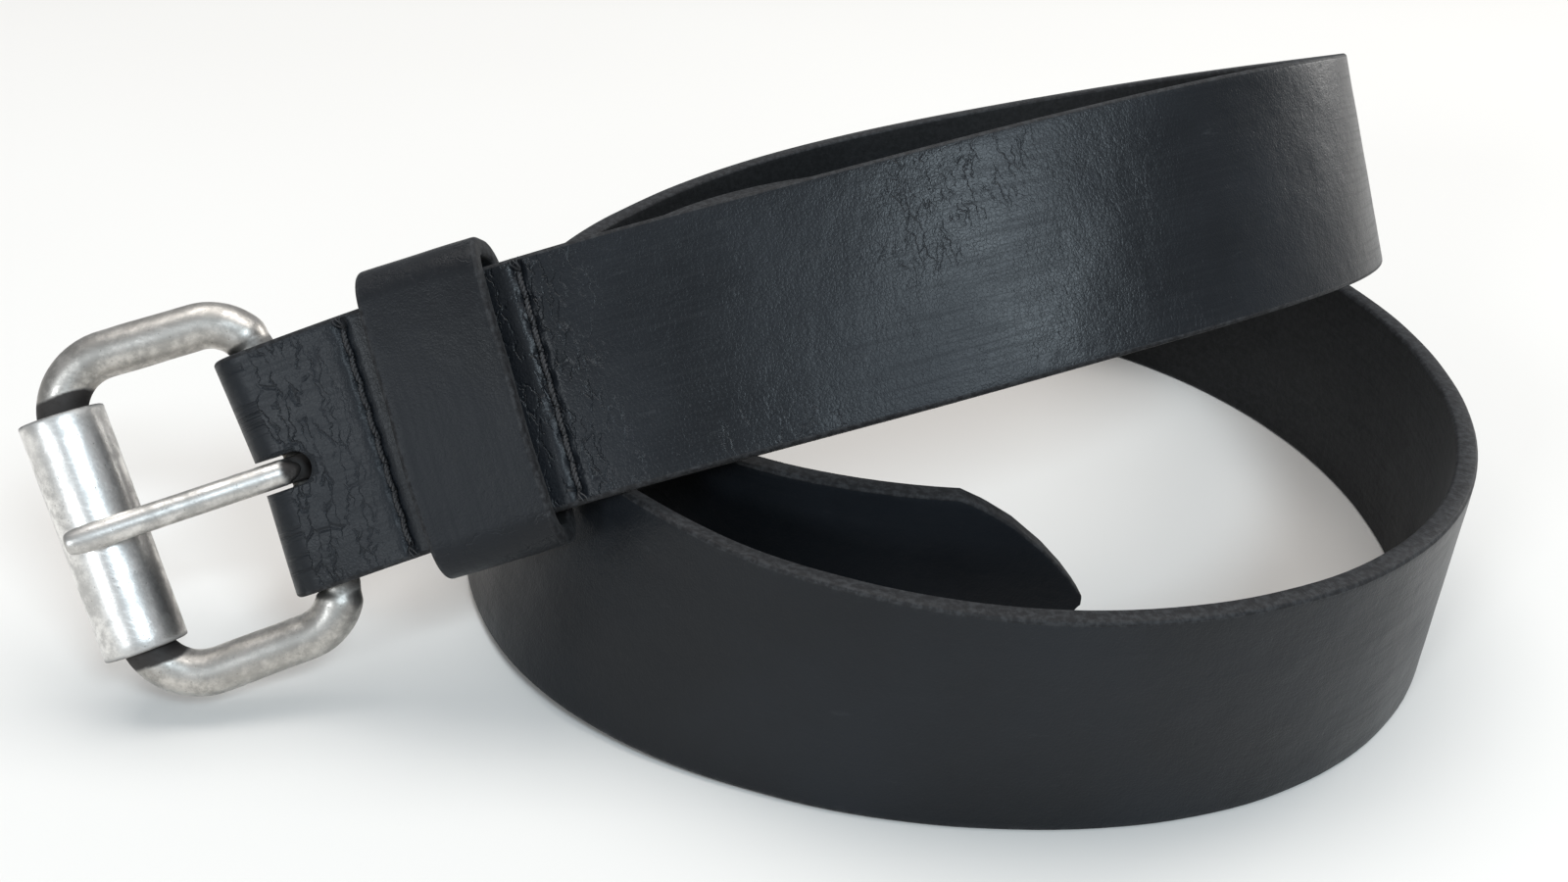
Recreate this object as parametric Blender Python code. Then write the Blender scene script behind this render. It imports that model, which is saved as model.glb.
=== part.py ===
"""A plain leather belt coiled on its edge, with a roller buckle, a stitched fold and a keeper.

Everything is in metres, +Z up.  The strap is described once as a route: how far it turns and
how far it leans at stations measured along it from the buckle end.  Every other piece is placed
in the strap's own frame: s along the strap, v across it (up), h out of its grain side.
"""
import math

import bmesh
import bpy
from mathutils import Matrix, Vector

MM = 0.001
CM = 0.01

# ---- strap -------------------------------------------------------------------------------
STRAP_WIDTH = 38.0 * MM
STRAP_THICK = 3.4 * MM
STRAP_LENGTH = 1112.0 * MM            # buckle fold to the point of the tip, as worn
DESIGN_WIDTH = 38.0 * MM              # the sizes the coil below was drawn for
DESIGN_LENGTH = 1112.0 * MM
BUCKLE_END = 60.0 * MM                # this much of the strap doesn't change with its length
START_HEADING = 4.0                   # degrees, direction the strap leaves the buckle

# distance from the buckle (mm), turn of the strap (degrees per centimetre)
BENDS = (
    (0, 0.4), (100, 1.5), (140, 3.7), (170, 6.2), (200, 8.5), (240, 10.3), (280, 9.4),
    (330, 7.2), (380, 5.9), (440, 5.2), (500, 8.3), (560, 6.2), (620, 6.0), (680, 8.1),
    (740, 6.0), (800, 6.3), (860, 8.8), (920, 6.3), (980, 8.3), (1040, 10.6), (1112, 3.6),
)
# distance from the buckle (mm), lean of the strap's edge line towards -X and -Y (degrees)
LEANS = (
    (0, 24.0, -25.5), (60, 23.0, -35.0), (120, 24.0, -32.0), (180, 19.0, -24.5),
    (240, 17.0, -18.0), (300, 16.5, -11.5), (360, 11.0, -4.0), (420, 3.0, 0.5),
    (460, -5.5, 0.8), (500, -11.3, -3.2), (540, -12.2, -13.0), (580, -1.8, -5.7), (620, 0.0, 0.0),
)
# the strap rides up a little where its stitched end lies across the coil's upper edge
CROSSING_S = 54.0 * MM
CROSSING_REACH = 100.0 * MM
CROSSING_LIFT = 2.3 * MM
# distance from the point of the tip, half width there, as shares of the full half width
TIP_LENGTH = 21.0 * MM
TIP_PROFILE = ((0.0, 0.04), (0.06, 0.14), (0.17, 0.30), (0.35, 0.52), (0.60, 0.76), (0.82, 0.91), (1.0, 1.0))
ROUTE_STEP = 1.0 * MM
SECTION_STEP = 8.0 * MM
ACROSS = (-1.0, -0.5, 0.0, 0.5, 1.0)  # columns of the strap mesh, as shares of half the width

# ---- fold at the buckle ------------------------------------------------------------------
BAR_RADIUS = 3.0 * MM
FOLD_CLEARANCE = 0.6 * MM
FOLD_THICK = 2.2 * MM                 # the leather is skived thinner where it folds
FOLD_INNER = BAR_RADIUS + FOLD_CLEARANCE
FOLD_OUTER = FOLD_INNER + FOLD_THICK
FOLD_BOW = 1.1 * MM                   # how far the fold's edges reach past its middle
BAR_S = FOLD_OUTER + FOLD_BOW
BAR_H = STRAP_THICK / 2 - FOLD_OUTER
SKIVE_START = BAR_S + 2.0 * MM
SKIVE_END = BAR_S + 11.0 * MM
BACK_CLOSE_START = BAR_S + 2.2 * MM   # the folded-back ply leaves the bar here
BACK_CLOSE_END = BAR_S + 13.5 * MM    # and lies flat on the front ply from here
PLY_GAP = 0.3 * MM
FOLD_SEGMENTS = 10

# ---- stitching ---------------------------------------------------------------------------
STITCH_ROWS = (("front", 22.0 * MM), ("rear", 49.2 * MM))
STITCH_COUNT = 9
STITCH_INSET = 2.2 * MM               # end stitch holes to the strap's edges
STITCH_HOLE_RADIUS = 0.95 * MM
THREAD_RADIUS = 0.35 * MM
THREAD_LIFT = 0.1 * MM
THREAD_LEG_GAP = 0.42 * MM            # half the distance between the two legs in one hole
THREAD_DIP = 2.1 * MM
BACK_THREAD_DIP = 1.3 * MM
BACK_PLY_END = STITCH_ROWS[1][1] + 3.0 * MM
BACK_PLY_TAPER = 1.2 * MM             # the back ply's end is this much narrower on each side

# ---- prong slot and size holes -----------------------------------------------------------
SLOT_HALF_WIDTH = 2.6 * MM
SLOT_END = BAR_S + 4.5 * MM
HOLE_RADIUS = 2.5 * MM
HOLE_COUNT = 5
HOLE_FIRST = 95.0 * MM                # tip to the nearest hole
HOLE_PITCH = 25.0 * MM

# ---- keeper ------------------------------------------------------------------------------
KEEPER_S = 35.6 * MM
KEEPER_BAND_WIDTH = 19.0 * MM
KEEPER_THICK = 3.0 * MM
KEEPER_SIDE_GAP = 1.9 * MM
KEEPER_BACK_GAP = 1.8 * MM
KEEPER_FRONT_GAP = 1.5 * MM
KEEPER_CORNER = 3.2 * MM
KEEPER_BULGE = 0.8 * MM
KEEPER_EDGE = 0.7 * MM
KEEPER_JOINT_GAP = 0.4 * MM
STAPLE_RADIUS = 0.5 * MM
STAPLE_HALF_SPAN = 4.0 * MM
STAPLE_LIFT = 0.7 * MM
STAPLE_HOLE_RADIUS = 0.85 * MM

# ---- buckle ------------------------------------------------------------------------------
BUCKLE_ANGLE = 15.0                   # degrees the frame stands out of the strap's plane
BAR_TO_ROLLER = 30.3 * MM
FRONT_CORNER = 9.0 * MM
REAR_CORNER = 7.7 * MM
WIRE_RADIUS = 3.6 * MM
WIRE_GROW_START = STRAP_WIDTH / 2 + 0.6 * MM  # the bar's thin part ends past the strap's edges
WIRE_GROW_END = WIRE_GROW_START + 1.8 * MM
REAR_SHOULDER = 5.9 * MM              # strap's edge to the middle of the frame's rear corner
NECK_RADIUS = 1.8 * MM
NECK_HALF = 2.4 * MM
NECK_STEP = 0.7 * MM
WIRE_SIDES = 12
CORNER_SEGMENTS = 7

ROLLER_RADIUS = 6.2 * MM
ROLLER_BORE = 4.9 * MM
ROLLER_LENGTH = 37.4 * MM
ROLLER_SIDES = 28
FRONT_SHOULDER = 6.9 * MM             # roller's end to the middle of the frame's front corner
REAR_HALF_HEIGHT = STRAP_WIDTH / 2 + REAR_SHOULDER
FRONT_HALF_HEIGHT = ROLLER_LENGTH / 2 + FRONT_SHOULDER

PRONG_RADIUS = 2.05 * MM
PRONG_ROLLER_GAP = 0.2 * MM
PRONG_ROOT = -0.8 * MM
PRONG_ROOT_HEIGHT = 4.05 * MM
PRONG_OVERHANG = 3.2 * MM             # tip past the roller's axis
EYE_BORE = 2.25 * MM
EYE_RADIUS = 3.35 * MM
EYE_HALF_WIDTH = 2.0 * MM
EYE_SIDES = 20
PRONG_SIDES = 12


# ---- small helpers -----------------------------------------------------------------------
def clear_scene():
    for obj in list(bpy.data.objects):
        bpy.data.objects.remove(obj, do_unlink=True)


def smooth(value):
    value = min(1.0, max(0.0, value))
    return value * value * (3.0 - 2.0 * value)


def blend(start, end, share):
    return start + (end - start) * share


def straight_table(table, x):
    """Value of a two-column table at x, joined by straight lines."""
    for (x0, y0), (x1, y1) in zip(table, table[1:]):
        if x <= x1:
            return blend(y0, y1, max(0.0, x - x0) / (x1 - x0))
    return table[-1][1]


def curved_table(table, x, column):
    """Value of a table column at x, joined by a smooth cubic curve that ends level."""
    xs = [row[0] for row in table]
    ys = [row[column] for row in table]
    if x >= xs[-1]:
        return ys[-1]
    slopes = [(ys[i + 1] - ys[i]) / (xs[i + 1] - xs[i]) for i in range(len(xs) - 1)]
    tangents = [slopes[0]]
    for i in range(1, len(slopes)):
        before = xs[i] - xs[i - 1]
        after = xs[i + 1] - xs[i]
        tangents.append((slopes[i - 1] * after + slopes[i] * before) / (before + after))
    tangents.append(0.0)
    i = max(k for k in range(len(slopes)) if xs[k] <= max(x, xs[0]))
    span = xs[i + 1] - xs[i]
    u = (x - xs[i]) / span
    return (
        (1 + 2 * u) * (1 - u) ** 2 * ys[i]
        + u * (1 - u) ** 2 * span * tangents[i]
        + u * u * (3 - 2 * u) * ys[i + 1]
        + u * u * (u - 1) * span * tangents[i + 1]
    )


def make_material(name, color, roughness, metallic):
    mat = bpy.data.materials.new(name)
    mat.use_nodes = True
    shader = mat.node_tree.nodes["Principled BSDF"]
    shader.inputs["Base Color"].default_value = (*color, 1.0)
    shader.inputs["Roughness"].default_value = roughness
    shader.inputs["Metallic"].default_value = metallic
    return mat


def add_object(name, verts, faces, mat=None):
    mesh = bpy.data.meshes.new(name)
    mesh.from_pydata([tuple(v) for v in verts], [], faces)
    bm = bmesh.new()
    bm.from_mesh(mesh)
    bmesh.ops.recalc_face_normals(bm, faces=bm.faces)
    bm.to_mesh(mesh)
    bm.free()
    if mat is not None:
        mesh.materials.append(mat)
    obj = bpy.data.objects.new(name, mesh)
    bpy.context.scene.collection.objects.link(obj)
    return obj


def join_rings(rings, closed):
    """Vertices and quads of a skin over equal rings; ends are capped unless it closes on itself."""
    count = len(rings[0])
    verts = [point for ring in rings for point in ring]
    faces = []
    pairs = len(rings) if closed else len(rings) - 1
    for i in range(pairs):
        a = i * count
        b = ((i + 1) % len(rings)) * count
        for j in range(count):
            k = (j + 1) % count
            faces.append((a + j, a + k, b + k, b + j))
    if not closed:
        faces.append(tuple(range(count - 1, -1, -1)))
        faces.append(tuple(range(len(verts) - count, len(verts))))
    return verts, faces


def cut(target, name, verts, faces):
    """Cut a hidden tool body out of the target."""
    tool = add_object(name, verts, faces)
    tool.matrix_world = target.matrix_world
    tool.hide_render = True
    tool.display_type = "WIRE"
    modifier = target.modifiers.new(name, "BOOLEAN")
    modifier.operation = "DIFFERENCE"
    modifier.solver = "EXACT"
    modifier.use_self = True
    modifier.object = tool
    return tool


def prism(outline, low, high):
    """A straight prism over an outline of (x, y) points between two heights along Z."""
    rings = [[(x, y, z) for x, y in outline] for z in (low, high)]
    return join_rings(rings, closed=False)


def circle(radius, sides, cx=0.0, cy=0.0, turn=0.0):
    return [
        (cx + radius * math.cos(2 * math.pi * i / sides + turn), cy + radius * math.sin(2 * math.pi * i / sides + turn))
        for i in range(sides)
    ]


# ---- the strap's route -------------------------------------------------------------------
# a longer or shorter strap keeps its buckle end and stretches or shrinks the coil beyond it
COIL_SCALE = (STRAP_LENGTH - BUCKLE_END) / (DESIGN_LENGTH - BUCKLE_END)
LEAN_SCALE = (STRAP_WIDTH / DESIGN_WIDTH) / COIL_SCALE


def design_station(s):
    """The station of the tables above, in millimetres, that distance s stands for."""
    if s <= BUCKLE_END:
        return s / MM
    return (BUCKLE_END + (s - BUCKLE_END) / COIL_SCALE) / MM


def bend_at(s):
    turn = straight_table(BENDS, design_station(s))
    return turn if s <= BUCKLE_END else turn / COIL_SCALE


def route_axes(s, heading):
    """Direction along the strap and direction across it (up) at one station."""
    station = design_station(s)
    scale = blend(1.0, LEAN_SCALE, smooth(s / BUCKLE_END))
    lean_x = math.tan(math.radians(curved_table(LEANS, station, 1))) * scale
    lean_y = math.tan(math.radians(curved_table(LEANS, station, 2))) * scale
    across = Vector((-lean_x, -lean_y, 1.0)).normalized()
    rise = lean_x * math.cos(heading) + lean_y * math.sin(heading)
    along = Vector((math.cos(heading), math.sin(heading), rise)).normalized()
    return along, across


def build_route():
    """Points, directions and cross directions of the strap's middle line, every millimetre."""
    count = int(round(STRAP_LENGTH / ROUTE_STEP)) + 1
    heading = math.radians(START_HEADING)
    position = Vector((0.0, 0.0, 0.0))
    rows = []
    before = None
    for i in range(count):
        s = i * ROUTE_STEP
        turn = bend_at(s)
        if i:
            heading += math.radians((turn + last_turn) / 2) * ROUTE_STEP / CM
        along, across = route_axes(s, heading)
        if before is not None:
            position = position + (before + along) * (ROUTE_STEP / 2)
        rows.append((position, along, across))
        before = along
        last_turn = turn
    lift = STRAP_WIDTH / 2 - rows[-1][0].z
    lifted = []
    for i, (point, along, across) in enumerate(rows):
        from_crossing = (i * ROUTE_STEP - CROSSING_S) / CROSSING_REACH
        ride = CROSSING_LIFT * (1.0 - smooth(abs(from_crossing)))
        raised = point + Vector((0.0, 0.0, lift + ride))
        out = along.cross(across)
        lowest = raised.z - across.z * STRAP_WIDTH / 2 - abs(out.z) * STRAP_THICK / 2
        raised.z -= min(0.0, lowest)
        lifted.append((raised, along, across))
    return lifted


ROUTE = build_route()


def strap_frame(s):
    """Middle point, along, across and outward directions of the strap at distance s."""
    place = s / ROUTE_STEP
    i = int(min(max(math.floor(place), 0), len(ROUTE) - 2))
    share = place - i
    p0, t0, w0 = ROUTE[i]
    p1, t1, w1 = ROUTE[i + 1]
    if share < 0.0:
        return p0 + t0 * s, t0, w0, t0.cross(w0).normalized()
    point = p0.lerp(p1, share)
    along = t0.lerp(t1, share).normalized()
    across = w0.lerp(w1, share).normalized()
    return point, along, across, along.cross(across).normalized()


def strap_point(s, v, h):
    point, _, across, out = strap_frame(s)
    return point + across * v + out * h


def strap_matrix(s, h=0.0):
    """Local X along the strap, Y across it, Z out of the grain side."""
    point, along, across, out = strap_frame(s)
    axes = Matrix((along, across, out)).transposed().to_4x4()
    return Matrix.Translation(point + out * h) @ axes


def half_width(s):
    from_tip = (STRAP_LENGTH - s) / TIP_LENGTH
    if from_tip >= 1.0:
        return STRAP_WIDTH / 2
    return STRAP_WIDTH / 2 * straight_table(TIP_PROFILE, from_tip)


def front_thickness(s):
    return blend(FOLD_THICK, STRAP_THICK, smooth((s - SKIVE_START) / (SKIVE_END - SKIVE_START)))


def back_middle(s):
    """Height of the folded-back ply's middle surface."""
    open_height = BAR_H - FOLD_INNER - FOLD_THICK / 2
    flat_height = -STRAP_THICK / 2 - PLY_GAP - FOLD_THICK / 2
    return blend(open_height, flat_height, smooth((s - BACK_CLOSE_START) / (BACK_CLOSE_END - BACK_CLOSE_START)))


def bow(s, share):
    """How far the fold reaches back towards the buckle at this share of the half width."""
    fade = 1.0 - smooth((s - BAR_S) / (BACK_CLOSE_END - BAR_S))
    return FOLD_BOW * abs(share) * fade


def strap_section(s, outer, inner, half):
    """One ring of strap vertices from matching outer and inner (s, h) points."""
    ring = []
    for share in ACROSS:
        ring.append(strap_point(outer[0] - bow(s, share), share * half, outer[1]))
    for share in reversed(ACROSS):
        ring.append(strap_point(inner[0] - bow(s, share), share * half, inner[1]))
    return ring


def strap_rings():
    rings = []
    half = STRAP_WIDTH / 2
    count = int(math.ceil((BACK_PLY_END - BAR_S) / (SECTION_STEP * 0.5)))
    for i in range(count):
        s = blend(BACK_PLY_END, BAR_S, i / count)
        slope = (back_middle(s + MM * 0.1) - back_middle(s - MM * 0.1)) / (MM * 0.2)
        length = math.hypot(1.0, slope)
        ds = slope / length * FOLD_THICK / 2
        dh = FOLD_THICK / 2 / length
        mid = back_middle(s)
        narrow = BACK_PLY_TAPER * smooth((s - BACK_CLOSE_END) / (BACK_PLY_END - BACK_CLOSE_END))
        rings.append(strap_section(s, (s + ds, mid - dh), (s - ds, mid + dh), half - narrow))
    for i in range(FOLD_SEGMENTS + 1):
        angle = math.radians(270.0 - 180.0 * i / FOLD_SEGMENTS)
        outer = (BAR_S + FOLD_OUTER * math.cos(angle), BAR_H + FOLD_OUTER * math.sin(angle))
        inner = (BAR_S + FOLD_INNER * math.cos(angle), BAR_H + FOLD_INNER * math.sin(angle))
        rings.append(strap_section(BAR_S, outer, inner, half))
    stations = [BAR_S + SECTION_STEP * 0.5 * k for k in range(1, 5)]
    body_start = stations[-1]
    taper_start = STRAP_LENGTH - TIP_LENGTH
    count = int(math.ceil((taper_start - body_start) / SECTION_STEP))
    stations += [blend(body_start, taper_start, k / count) for k in range(1, count + 1)]
    stations += [STRAP_LENGTH - share * TIP_LENGTH for share, _ in reversed(TIP_PROFILE[:-1])]
    for s in stations:
        top = STRAP_THICK / 2
        rings.append(strap_section(s, (s, top), (s, top - front_thickness(s)), half_width(s)))
    return rings


def stitch_positions():
    reach = STRAP_WIDTH / 2 - STITCH_INSET
    return [blend(-reach, reach, i / (STITCH_COUNT - 1)) for i in range(STITCH_COUNT)]


def add_strap(mat):
    verts, faces = join_rings(strap_rings(), closed=False)
    strap = add_object("strap", verts, faces, mat)

    # the prong slot runs round the fold, open at the fold and round-ended in both plies
    frame = strap_matrix(0.0)
    centre = SLOT_END - SLOT_HALF_WIDTH
    outline = [(-FOLD_OUTER, -SLOT_HALF_WIDTH)]
    for i in range(9):
        angle = math.radians(-90.0 + 180.0 * i / 8)
        outline.append((centre + SLOT_HALF_WIDTH * math.cos(angle), SLOT_HALF_WIDTH * math.sin(angle)))
    outline.append((-FOLD_OUTER, SLOT_HALF_WIDTH))
    verts, faces = prism(outline, -3.0 * FOLD_OUTER, STRAP_THICK)
    cut(strap, "tool_slot", [frame @ Vector(v) for v in verts], faces)

    # size holes near the tip
    all_verts, all_faces = [], []
    for i in range(HOLE_COUNT):
        frame = strap_matrix(STRAP_LENGTH - HOLE_FIRST - i * HOLE_PITCH)
        verts, faces = prism(circle(HOLE_RADIUS, 16), -STRAP_THICK, STRAP_THICK)
        base = len(all_verts)
        all_verts += [frame @ Vector(v) for v in verts]
        all_faces += [tuple(base + k for k in face) for face in faces]
    cut(strap, "tool_size_holes", all_verts, all_faces)

    # stitch holes through both plies
    all_verts, all_faces = [], []
    for _, row_s in STITCH_ROWS:
        frame = strap_matrix(row_s)
        low = back_middle(row_s) - FOLD_THICK
        for v in stitch_positions():
            verts, faces = prism(circle(STITCH_HOLE_RADIUS, 8, 0.0, v, math.pi / 8), low, STRAP_THICK)
            base = len(all_verts)
            all_verts += [frame @ Vector(p) for p in verts]
            all_faces += [tuple(base + k for k in face) for face in faces]
    cut(strap, "tool_stitch_holes", all_verts, all_faces)
    return strap


# ---- swept pieces ------------------------------------------------------------------------
def sweep(path, radii, sides, side_axis, closed=False):
    """Rings round a flat path; side_axis is the direction square to the path's plane."""
    rings = []
    count = len(path)
    for i, point in enumerate(path):
        before = path[(i - 1) % count] if closed or i else path[i]
        after = path[(i + 1) % count] if closed or i < count - 1 else path[i]
        along = (after - before).normalized()
        out = side_axis.cross(along).normalized()
        ring = []
        for k in range(sides):
            angle = 2 * math.pi * (k + 0.5) / sides
            ring.append(point + (out * math.cos(angle) + side_axis * math.sin(angle)) * radii[i])
        rings.append(ring)
    return rings


def thread_path(surface, direction, dip):
    """A thread along one stitch row: over the face between holes, down and up in each hole."""
    path = []
    positions = stitch_positions()
    over = surface + direction * (THREAD_RADIUS + THREAD_LIFT)
    low = surface - direction * dip
    for i, v in enumerate(positions):
        first = i == 0
        last = i == len(positions) - 1
        if not first:
            path += [(v - THREAD_LEG_GAP - THREAD_RADIUS, over), (v - THREAD_LEG_GAP, surface)]
            path.append((v - THREAD_LEG_GAP, low))
        else:
            path.append((v - THREAD_LEG_GAP, low))
        path.append((v + THREAD_LEG_GAP, low))
        if not last:
            path += [(v + THREAD_LEG_GAP, surface), (v + THREAD_LEG_GAP + THREAD_RADIUS, over)]
    return path


def add_threads(mat):
    threads = []
    for row_name, row_s in STITCH_ROWS:
        frame = strap_matrix(row_s)
        back_face = back_middle(row_s) - FOLD_THICK / 2
        choices = (
            ("needle", STRAP_THICK / 2, 1.0, THREAD_DIP),
            ("bobbin", back_face, -1.0, BACK_THREAD_DIP),
        )
        for thread_name, surface, direction, dip in choices:
            path = [Vector((0.0, v, h)) for v, h in thread_path(surface, direction, dip)]
            rings = sweep(path, [THREAD_RADIUS] * len(path), 6, Vector((1.0, 0.0, 0.0)))
            verts, faces = join_rings(rings, closed=False)
            obj = add_object("stitch_" + row_name + "_" + thread_name, verts, faces, mat)
            obj.matrix_world = frame
            threads.append(obj)
    return threads


# ---- keeper ------------------------------------------------------------------------------
def keeper_sizes():
    """Half height and the back and front heights of the band's middle surface."""
    half = STRAP_WIDTH / 2 + KEEPER_SIDE_GAP + KEEPER_THICK / 2
    back_face = -STRAP_THICK / 2 - PLY_GAP - FOLD_THICK
    low = back_face - KEEPER_BACK_GAP - KEEPER_THICK / 2
    high = STRAP_THICK / 2 + KEEPER_FRONT_GAP + KEEPER_THICK / 2
    return half, low, high


def keeper_path(segments):
    """Middle line of the band in (v, h), from one end at the back round to the other."""
    half, low, high = keeper_sizes()
    radius = KEEPER_CORNER + KEEPER_THICK / 2
    joint = KEEPER_JOINT_GAP / 2
    path = [(joint, low), (STAPLE_HALF_SPAN, low), (half - radius, low)]
    for i in range(1, segments + 1):
        angle = math.radians(-90.0 + 90.0 * i / segments)
        path.append((half - radius + radius * math.cos(angle), low + radius + radius * math.sin(angle)))
    for i in range(segments + 1):
        angle = math.radians(90.0 * i / segments)
        path.append((half - radius + radius * math.cos(angle), high - radius + radius * math.sin(angle)))
    span = half - radius
    across = [span * (1 - 2 * i / segments) for i in range(1, segments)]
    path += [(v, high + KEEPER_BULGE * (1 - (v / span) ** 2)) for v in across]
    for i in range(segments + 1):
        angle = math.radians(90.0 + 90.0 * i / segments)
        path.append((-half + radius + radius * math.cos(angle), high - radius + radius * math.sin(angle)))
    for i in range(segments + 1):
        angle = math.radians(180.0 + 90.0 * i / segments)
        path.append((-half + radius + radius * math.cos(angle), low + radius + radius * math.sin(angle)))
    path += [(-STAPLE_HALF_SPAN, low), (-joint, low)]
    return path


def band_section():
    """Section of the band with eased edges: along the strap, and out from the middle line."""
    a = KEEPER_BAND_WIDTH / 2
    b = KEEPER_THICK / 2
    e = KEEPER_EDGE
    return [(-a, -b + e), (-a + e, -b), (a - e, -b), (a, -b + e), (a, b - e), (a - e, b), (-a + e, b), (-a, b - e)]


def add_keeper(mat, steel):
    path = keeper_path(6)
    rings = []
    for i, (v, h) in enumerate(path):
        v0, h0 = path[max(i - 1, 0)]
        v1, h1 = path[min(i + 1, len(path) - 1)]
        along = Vector((v1 - v0, h1 - h0)).normalized()
        out = Vector((along.y, -along.x))
        rings.append([(x, v + out.x * t, h + out.y * t) for x, t in band_section()])
    verts, faces = join_rings(rings, closed=False)
    frame = strap_matrix(KEEPER_S)
    keeper = add_object("keeper_band", verts, faces, mat)
    keeper.matrix_world = frame

    # two small holes for the staple's legs
    _, low, _ = keeper_sizes()
    all_verts, all_faces = [], []
    for side in (-1, 1):
        tool_verts, tool_faces = prism(circle(STAPLE_HOLE_RADIUS, 8, 0.0, side * STAPLE_HALF_SPAN),
                                       low - KEEPER_THICK, low + KEEPER_THICK)
        base = len(all_verts)
        all_verts += tool_verts
        all_faces += [tuple(base + k for k in face) for face in tool_faces]
    cut(keeper, "tool_staple_holes", all_verts, all_faces)

    # staple: crown outside, legs through the band, ends clinched towards each other inside
    outside = low - KEEPER_THICK / 2 - STAPLE_LIFT
    inside = low + KEEPER_THICK / 2 + STAPLE_LIFT
    span = STAPLE_HALF_SPAN
    path = [(1.2 * MM, inside), (span, inside), (span, outside), (-span, outside), (-span, inside), (-1.2 * MM, inside)]
    points = [Vector((0.0, v, h)) for v, h in path]
    rings = sweep(points, [STAPLE_RADIUS] * len(points), 8, Vector((1.0, 0.0, 0.0)))
    verts, faces = join_rings(rings, closed=False)
    staple = add_object("keeper_staple", verts, faces, steel)
    staple.matrix_world = frame
    return keeper, staple


# ---- buckle ------------------------------------------------------------------------------
def buckle_matrix():
    """Local X from the bar to the roller, Y down the bar, Z out towards the prong."""
    point, along, across, out = strap_frame(0.0)
    angle = math.radians(BUCKLE_ANGLE)
    to_roller = -along * math.cos(angle) + out * math.sin(angle)
    normal = along * math.sin(angle) + out * math.cos(angle)
    centre = point + along * BAR_S + out * BAR_H
    axes = Matrix((to_roller, -across, normal)).transposed().to_4x4()
    return Matrix.Translation(centre) @ axes


def corner_arc(before, corner, after, radius, segments):
    """Points of a round corner between two straight sides, in the frame's plane."""
    a = (before - corner).normalized()
    b = (after - corner).normalized()
    angle = a.angle(b)
    centre = corner + (a + b).normalized() * radius / math.sin(angle / 2)
    start = corner + a * radius / math.tan(angle / 2) - centre
    turn = math.pi - angle
    if start.y * a.x - start.x * a.y < 0:
        turn = -turn
    points = []
    for i in range(segments + 1):
        c = math.cos(turn * i / segments)
        s = math.sin(turn * i / segments)
        points.append(Vector((centre.x + start.x * c - start.y * s, centre.y + start.x * s + start.y * c)))
    return points


def frame_path():
    """Closed middle line of the buckle wire with its radius at every point."""
    rear = Vector((0.0, REAR_HALF_HEIGHT))
    front = Vector((BAR_TO_ROLLER, FRONT_HALF_HEIGHT))
    half = [Vector((0.0, 0.0)), Vector((0.0, NECK_HALF)), Vector((0.0, NECK_HALF + NECK_STEP))]
    half.append(Vector((0.0, (REAR_HALF_HEIGHT - REAR_CORNER + NECK_HALF) / 2)))
    half += corner_arc(Vector((0.0, 0.0)), rear, front, REAR_CORNER, CORNER_SEGMENTS)
    half += corner_arc(rear, front, Vector((BAR_TO_ROLLER, 0.0)), FRONT_CORNER, CORNER_SEGMENTS)
    half.append(Vector((BAR_TO_ROLLER, 0.0)))
    mirrored = [Vector((p.x, -p.y)) for p in reversed(half[1:-1])]
    points = half + mirrored
    radii = []
    for p in points:
        if abs(p.y) <= NECK_HALF + NECK_STEP / 2 and p.x < BAR_TO_ROLLER / 2:
            radii.append(NECK_RADIUS)
        elif p.x < BAR_TO_ROLLER / 2:
            grow = smooth((abs(p.y) - WIRE_GROW_START) / (WIRE_GROW_END - WIRE_GROW_START))
            radii.append(blend(BAR_RADIUS, WIRE_RADIUS, grow))
        else:
            radii.append(WIRE_RADIUS)
    return [Vector((p.x, p.y, 0.0)) for p in points], radii


def add_frame(mat):
    path, radii = frame_path()
    rings = sweep(path, radii, WIRE_SIDES, Vector((0.0, 0.0, 1.0)), closed=True)
    verts, faces = join_rings(rings, closed=True)
    obj = add_object("buckle_frame", verts, faces, mat)
    obj.matrix_world = buckle_matrix()
    return obj


def add_roller(mat):
    ends = (-ROLLER_LENGTH / 2, ROLLER_LENGTH / 2)
    profile = ((ROLLER_BORE, ends[0]), (ROLLER_RADIUS, ends[0]), (ROLLER_RADIUS, ends[1]), (ROLLER_BORE, ends[1]))
    rings = []
    for i in range(ROLLER_SIDES):
        angle = 2 * math.pi * i / ROLLER_SIDES
        rings.append([(r * math.cos(angle), y, r * math.sin(angle)) for r, y in profile])
    verts, faces = join_rings(rings, closed=True)
    obj = add_object("buckle_roller", verts, faces, mat)
    obj.matrix_world = buckle_matrix() @ Matrix.Translation((BAR_TO_ROLLER, 0.0, 0.0))
    return obj


def prong_shank():
    """Middle line and radii of the prong's straight shank, root to tip."""
    at_roller = ROLLER_RADIUS + PRONG_ROLLER_GAP + PRONG_RADIUS
    slope = (at_roller - PRONG_ROOT_HEIGHT) / (BAR_TO_ROLLER - PRONG_ROOT)
    tip = BAR_TO_ROLLER + PRONG_OVERHANG
    stations = (
        (PRONG_ROOT, 0.30), (PRONG_ROOT + 1.0 * MM, 0.62), (PRONG_ROOT + 1.8 * MM, 0.84), (PRONG_ROOT + 2.6 * MM, 1.0),
        (tip - 4.0 * MM, 1.0), (tip - 1.6 * MM, 0.93), (tip - 0.5 * MM, 0.72), (tip, 0.4),
    )
    path = [Vector((x, 0.0, PRONG_ROOT_HEIGHT + slope * (x - PRONG_ROOT))) for x, _ in stations]
    return path, [PRONG_RADIUS * share for _, share in stations]


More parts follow.
